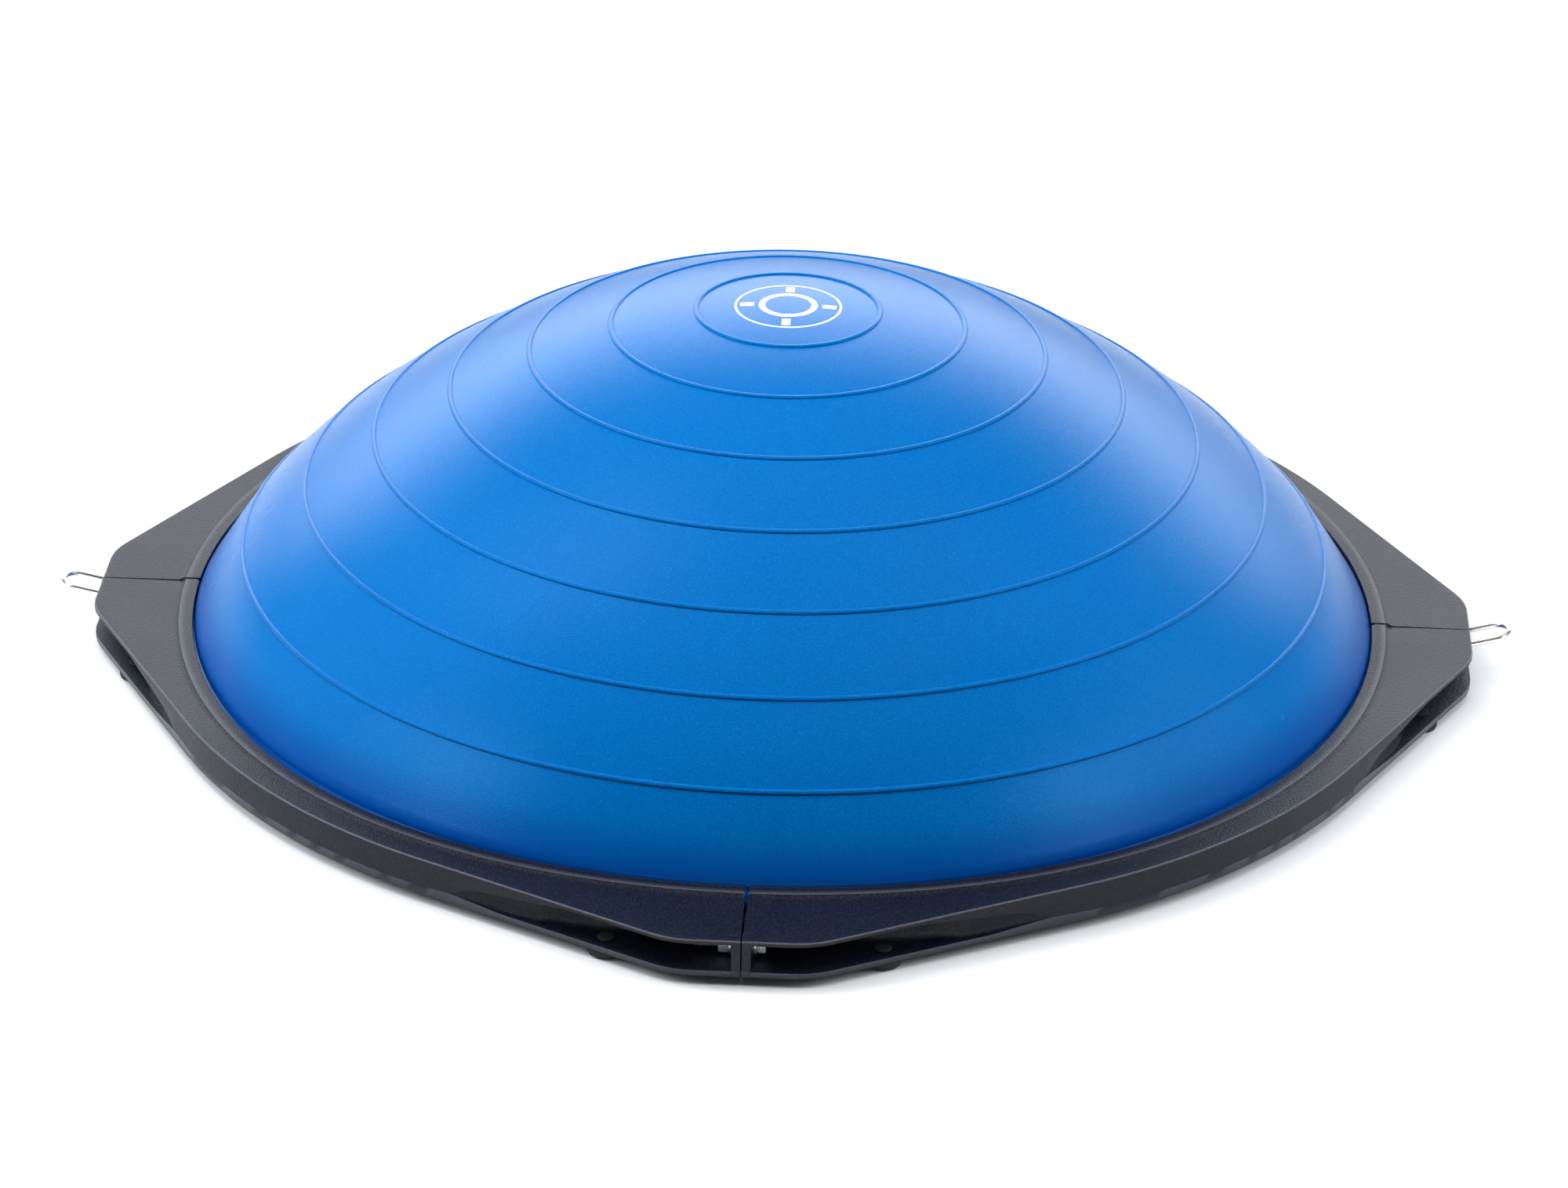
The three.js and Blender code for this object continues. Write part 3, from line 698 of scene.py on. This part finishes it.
def hexagon(name, low, high, turn=0.0):
    """A hexagon block whose upper and lower corners are turned off to a cone, as on real ones."""
    bpy.ops.object.select_all(action="DESELECT")
    bpy.ops.mesh.primitive_cylinder_add(vertices=6, radius=HEX_R * MM, depth=(high - low) * MM,
                                        location=(0, 0, 0), rotation=(0, 0, math.radians(turn)))
    block = bpy.context.object
    block.name = block.data.name = name
    bpy.ops.object.transform_apply(location=False, rotation=True, scale=True)
    block.data.transform(Matrix.Translation((0, 0, (low + high) / 2 * MM)))
    cone = spin_section("corner_cone", [
        (0, low), (HEX_FACE_R, low), (HEX_CONE_R, low + HEX_CONE_HEIGHT),
        (HEX_CONE_R, high - HEX_CONE_HEIGHT), (HEX_FACE_R, high), (0, high),
    ], 36)
    modified(block, "BOOLEAN", operation="INTERSECT", object=cone, solver="EXACT")
    bpy.data.objects.remove(cone)
    return modified(block, "BEVEL", width=HEX_BEVEL * MM, segments=2, limit_method="ANGLE",
                    angle_limit=math.radians(35))


def stack_height(has_loop):
    """From the seam to the underside of the bolt's head, or of its nut."""
    return FLANGE + GAP + WASHER_HEIGHT + GAP + (2 * WIRE_R + GAP if has_loop else 0)


def join(first, *others):
    bpy.ops.object.select_all(action="DESELECT")
    for piece in (first, *others):
        piece.select_set(True)
    bpy.context.view_layer.objects.active = first
    bpy.ops.object.join()
    return first


def bolt_thread(low, high, chamfer=0.8):
    """The threaded shank: rolled grooves a pitch apart, with a chamfered end."""
    section = [(0, low), (THREAD_ROOT_R - 0.35, low), (THREAD_ROOT_R, low + chamfer * 0.5)]
    z = low + chamfer * 0.5
    while z + THREAD_PITCH < high:
        section += [(r, z + rise) for r, rise in THREAD_FORM]
        z += THREAD_PITCH
    section += [(SHANK_R, z + 0.3), (SHANK_R, high + 1.0), (0, high + 1.0)]
    return spin_section("bolt_shank", section, 28)


zinc, tree, shader = new_finish("bright_zinc_plate")
ZINC, ZINC_FLECK = (0.90, 0.93, 0.96, 1), (0.66, 0.70, 0.76, 1)
plate_wear = add_grain(
    tree, Colour=ZINC, Fleck_Colour=ZINC_FLECK, Fleck_Amount=0.5,
    Grain_Scale=700.0, Cloud_Scale=160.0, Cloud_Amount=0.30,
    Roughness=0.46, Roughness_Spread=0.25, Relief=0.10, Relief_Depth=0.00012,
)
feed(tree, shader, plate_wear)
shader.inputs["Metallic"].default_value = 1.0

for corner_name in CORNER_TURNS:
    seat = stack_height(corner_name in ("left", "right"))
    head = hexagon(f"hex_bolt_{corner_name}", seat, seat + HEAD_HEIGHT, turn=HEAD_TURN)
    bolt = join(head, bolt_thread(seat - BOLT_LENGTH, seat))
    nut = hexagon(f"hex_nut_{corner_name}", -seat - NUT_HEIGHT, -seat, turn=NUT_TURN)
    bore = spin_section("nut_bore", [
        (0, -seat - 6), (NUT_MOUTH_R, -seat - 6), (NUT_BORE_R, -seat - NUT_HEIGHT + 0.7),
        (NUT_BORE_R, -seat - 0.7), (NUT_MOUTH_R, -seat + 1.3), (0, -seat + 1.3),
    ], 28)
    modified(nut, "BOOLEAN", operation="DIFFERENCE", object=bore, solver="EXACT")
    bpy.data.objects.remove(bore)
    pieces = [(bolt, f"bolt_{corner_name}"), (nut, f"nut_{corner_name}")]
    for side, label in ((1, "head"), (-1, "nut")):
        low = FLANGE + GAP if side > 0 else -FLANGE - GAP - WASHER_HEIGHT
        high = low + WASHER_HEIGHT
        washer = spin_section(f"flat_washer_{corner_name}_{label}", [
            (WASHER_HOLE_R, low + HOLE_EDGE), (WASHER_HOLE_R + HOLE_EDGE, low),
            (WASHER_R - RIM_EDGE, low), (WASHER_R, low + RIM_EDGE),
            (WASHER_R, high - RIM_EDGE), (WASHER_R - RIM_EDGE, high),
            (WASHER_HOLE_R + HOLE_EDGE, high), (WASHER_HOLE_R, high - HOLE_EDGE),
        ], 40, closed=True)
        pieces.append((washer, f"washer_{corner_name}_{label}"))
    for piece, node in pieces:
        piece.data.materials.clear()
        piece.data.materials.append(zinc)
        place_on_bolt(piece, corner_name)
        smooth(piece, 30)
        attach(piece, "base")
        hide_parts(node)

# ---- band loops ----------------------------------------------------------------------------
# Two loops of bright plated wire that resistance bands clip to. Each end of the wire is curled
# into an eye round the corner bolt, so the loop can swing up and down a little.

EYE_R = 4.9
LOOP_REACH = 40.5
LOOP_TILTS = {"left": 12.0, "right": 15.0}
LOOP_BEND_STEPS = 20
EYE_START, EYE_SWEEP = 62, 262           # degrees round the bolt
EYE_STEPS = 24
LOOP_LEAD = ((5.6, -1.9), (7.2, -0.75), (9.2, -0.12), (11.5, 0))    # from the eye out to the leg
LOOP_STRAIGHT = 0.62     # share of the leg, up to the bend, where its straight wire is marked


def loop_wire(name):
    """One bent wire, level, with its hinge on the local Y axis."""
    leg = FLANGE + GAP + WASHER_HEIGHT + GAP + WIRE_R
    bend_x = LOOP_REACH - WIRE_R - leg
    eye = []
    for i in range(EYE_STEPS + 1):
        t = math.radians(EYE_START + EYE_SWEEP * i / EYE_STEPS)
        eye.append((EYE_R * math.cos(t), EYE_R * math.sin(t)))
    start = [(x, -leg, z) for x, z in eye]
    start += [(x, -leg, z) for x, z in LOOP_LEAD]
    middle = [(bend_x * LOOP_STRAIGHT, -leg, 0)]
    for i in range(LOOP_BEND_STEPS + 1):
        t = math.radians(-90 + 180 * i / LOOP_BEND_STEPS)
        middle.append((bend_x + leg * math.cos(t), leg * math.sin(t), 0))
    middle.append((bend_x * LOOP_STRAIGHT, leg, 0))
    points = start + middle + [(x, -y, z) for x, y, z in reversed(start)]
    line = bpy.data.curves.new(name, "CURVE")
    line.dimensions = "3D"
    line.bevel_depth = WIRE_R * MM
    line.bevel_resolution = 5
    line.use_fill_caps = True
    spline = line.splines.new("POLY")
    spline.points.add(len(points) - 1)
    for point, (x, y, z) in zip(spline.points, points):
        point.co = (x * MM, y * MM, z * MM, 1)
    wire = bpy.data.objects.new(name, line)
    bpy.context.scene.collection.objects.link(wire)
    bpy.ops.object.select_all(action="DESELECT")
    wire.select_set(True)
    bpy.context.view_layer.objects.active = wire
    bpy.ops.object.convert(target="MESH")
    return bpy.context.object


nickel, tree, shader = new_finish("bright_nickel_wire")
NICKEL, NICKEL_FLECK = (0.93, 0.91, 0.86, 1), (0.78, 0.73, 0.64, 1)
wire_wear = add_grain(
    tree, Colour=NICKEL, Fleck_Colour=NICKEL_FLECK, Fleck_Amount=0.35,
    Grain_Scale=420.0, Cloud_Scale=90.0, Cloud_Amount=0.16,
    Roughness=0.30, Roughness_Spread=0.14, Relief=0.06, Relief_Depth=0.0001,
)
feed(tree, shader, wire_wear)
shader.inputs["Metallic"].default_value = 1.0

for side in ("left", "right"):
    wire = loop_wire(f"band_wire_{side}")
    tilt = Matrix.Rotation(-math.radians(LOOP_TILTS[side]), 4, "Y")
    spot = Matrix.Translation((BOLT_R * MM, 0, BOLT_Z * MM))
    turn = Matrix.Rotation(math.radians(CORNER_TURNS[side]), 4, "Z")
    wire.data.transform(turn @ spot @ tilt)
    wire.data.materials.clear()
    wire.data.materials.append(nickel)
    smooth(wire, 60)
    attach(wire, f"{side}_loop")
    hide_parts(f"band_loop_{side}")

# ---- feet ----------------------------------------------------------------------------------
# Eight push-in buttons of matt black rubber, two beside each corner. A barbed stem goes through
# the lower plate; the pad has a rounded edge and a shallow ring moulded in its sole.

FOOT_CIRCLE_R, FOOT_ANGLE = 336.0, 11.2
FOOT_SECTION = [
    (0, 9.0), (3.0, 9.0), (3.7, 8.9), (4.35, 8.4), (4.35, 8.2), (3.6, 8.2),
    (3.6, 4.3), (8.3, 4.3), (8.8, 4.1), (9.0, 3.6), (8.9, 1.6), (8.5, 0.6), (7.8, 0.1), (7.2, 0.0),
    (6.4, 0.0), (6.1, 0.5), (5.3, 0.5), (5.0, 0.0), (2.4, 0.0), (2.0, 0.5), (0, 0.5),
]
RUBBER_BLACK, RUBBER_DUST = (0.011, 0.011, 0.012, 1), (0.05, 0.05, 0.05, 1)

rubber, tree, shader = new_finish("matt_black_rubber")
grain = add_grain(
    tree, Colour=RUBBER_BLACK, Fleck_Colour=RUBBER_DUST, Fleck_Amount=0.25,
    Grain_Scale=900.0, Cloud_Scale=60.0, Cloud_Amount=0.5,
    Roughness=0.78, Roughness_Spread=0.2, Relief=0.3, Relief_Depth=0.0003,
)
feed(tree, shader, grain)

pad = spin_section("foot_pad", FOOT_SECTION, 40)
pad.data.materials.append(rubber)
smooth(pad, 40)
for corner_name, degrees in CORNER_TURNS.items():
    for side, offset in (("a", -FOOT_ANGLE), ("b", FOOT_ANGLE)):
        button = pad.copy()
        button.data = pad.data.copy()
        button.name = button.data.name = f"rubber_foot_{corner_name}_{side}"
        bpy.context.scene.collection.objects.link(button)
        a = math.radians(degrees + offset)
        x, y = FOOT_CIRCLE_R * math.cos(a) * MM, FOOT_CIRCLE_R * math.sin(a) * MM
        button.data.transform(Matrix.Translation((x, y, 0)))
        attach(button, "base")
        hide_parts(f"foot_{corner_name}_{side}")
bpy.data.objects.remove(pad)

# ---- deck ----------------------------------------------------------------------------------
# The round board under the bladder. Its underside, stood on when the trainer is turned over, has
# a ringed grip field, and a round well where the valve is reached.

DECK_R, CROWN_R, DECK_TOP, DECK_CROWN = 326.8, 294.3, 16.0, 5.0
DECK_RIM_UNDER, CROWN_ROUND = 8.2, 1.2
GRIP_IN_R, GRIP_OUT_R, GRIP_DEPTH, GRIP_PITCH = 70.0, 250.0, 0.8, 6.0
GROOVE_WIDTH, RIDGE_FROM, RIDGE_TO, RIDGE_BACK = 2.6, 3.2, 5.4, 0.15
VALVE_Y = 190.0
VALVE_CUP_R, VALVE_CUP_TOP, VALVE_BORE_R = 13.0, 11.3, 6.4
DECK_BLACK, DECK_FLECK = (0.016, 0.017, 0.020, 1), (0.055, 0.058, 0.065, 1)


def deck_section():
    """The board's round section, with the grip rings cut in its underside."""
    section = [(0, DECK_TOP), (DECK_R, DECK_TOP), (DECK_R, DECK_RIM_UNDER), (CROWN_R, DECK_RIM_UNDER)]
    section += fillet(CROWN_R - CROWN_ROUND, DECK_CROWN + CROWN_ROUND, CROWN_ROUND, 0, -90, 5)
    section += [(GRIP_OUT_R + 0.6, DECK_CROWN)]
    r = GRIP_OUT_R
    while r - GRIP_PITCH >= GRIP_IN_R:
        section += [
            (r, DECK_CROWN + GRIP_DEPTH), (r - GROOVE_WIDTH, DECK_CROWN + GRIP_DEPTH),
            (r - RIDGE_FROM, DECK_CROWN + RIDGE_BACK), (r - RIDGE_TO, DECK_CROWN + RIDGE_BACK),
        ]
        r -= GRIP_PITCH
    return section + [(GRIP_IN_R - 0.6, DECK_CROWN), (0, DECK_CROWN)]


board = spin_section("deck_board", deck_section(), 128)
well = spin_section("valve_well", [
    (0, 0), (VALVE_CUP_R + 0.7, 4.0), (VALVE_CUP_R, 5.7), (VALVE_CUP_R, VALVE_CUP_TOP),
    (VALVE_BORE_R, VALVE_CUP_TOP), (VALVE_BORE_R, 20), (0, 20),
], 48)
well.data.transform(Matrix.Translation((0, VALVE_Y * MM, 0)))
modified(board, "BOOLEAN", operation="DIFFERENCE", object=well, solver="EXACT")
bpy.data.objects.remove(well)
smooth(board, 30)
board_plastic, tree, shader = new_finish("deck_black_plastic")
grain = add_grain(
    tree, Colour=DECK_BLACK, Fleck_Colour=DECK_FLECK, Fleck_Amount=0.4,
    Grain_Scale=800.0, Cloud_Scale=7.0, Cloud_Amount=0.3,
    Roughness=0.6, Roughness_Spread=0.2, Relief=0.4, Relief_Depth=0.0004,
)
feed(tree, shader, grain)
board.data.materials.clear()
board.data.materials.append(board_plastic)
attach(board, "base")
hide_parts("deck")

# ---- valve ---------------------------------------------------------------------------------
# A seat of pale soft plastic, welded in the bladder's base, and the plug that closes it. The
# plug is pulled out by its small grip to let air in or out.

SEAT_SECTION = [
    (3.7, 9.9), (5.6, 9.9), (6.0, 10.3), (6.0, 19.1), (11.6, 19.1), (12.0, 19.5),
    (12.0, 20.7), (11.6, 21.1), (4.1, 21.1), (3.7, 20.7),
]
PLUG_SECTION = [
    (0, 14.2), (2.7, 14.2), (3.3, 13.6), (3.3, 12.6), (3.0, 12.2), (3.0, 11.6), (3.3, 11.2), (3.4, 9.6),
    (7.6, 9.6), (8.0, 9.2), (8.0, 8.1), (7.5, 7.6), (2.9, 7.6), (2.4, 7.2), (2.4, 6.0), (2.0, 5.6), (0, 5.6),
]
VALVE_PALE, VALVE_FLECK = (0.70, 0.71, 0.72, 1), (0.60, 0.61, 0.62, 1)

valve_plastic, tree, shader = new_finish("pale_valve_plastic")
grain = add_grain(
    tree, Colour=VALVE_PALE, Fleck_Colour=VALVE_FLECK, Fleck_Amount=0.3,
    Grain_Scale=700.0, Cloud_Scale=80.0, Cloud_Amount=0.1,
    Roughness=0.42, Roughness_Spread=0.15, Relief=0.1, Relief_Depth=0.0002,
)
feed(tree, shader, grain)

seat_piece = spin_section("valve_seat_tube", SEAT_SECTION, 40, closed=True)
plug_piece = spin_section("valve_stopper", PLUG_SECTION, 40)
for piece, node, body in ((seat_piece, "valve_seat", "base"), (plug_piece, "valve_plug", "plug")):
    piece.data.transform(Matrix.Translation((0, VALVE_Y * MM, 0)))
    piece.data.materials.append(valve_plastic)
    smooth(piece, 35)
    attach(piece, body)
    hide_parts(node)

# The corner numbers have done their work, so no mesh keeps them.
for piece in [o for o in bpy.data.objects if o.type == "MESH" and "rail" in o.data.attributes]:
    piece.data.attributes.remove(piece.data.attributes["rail"])
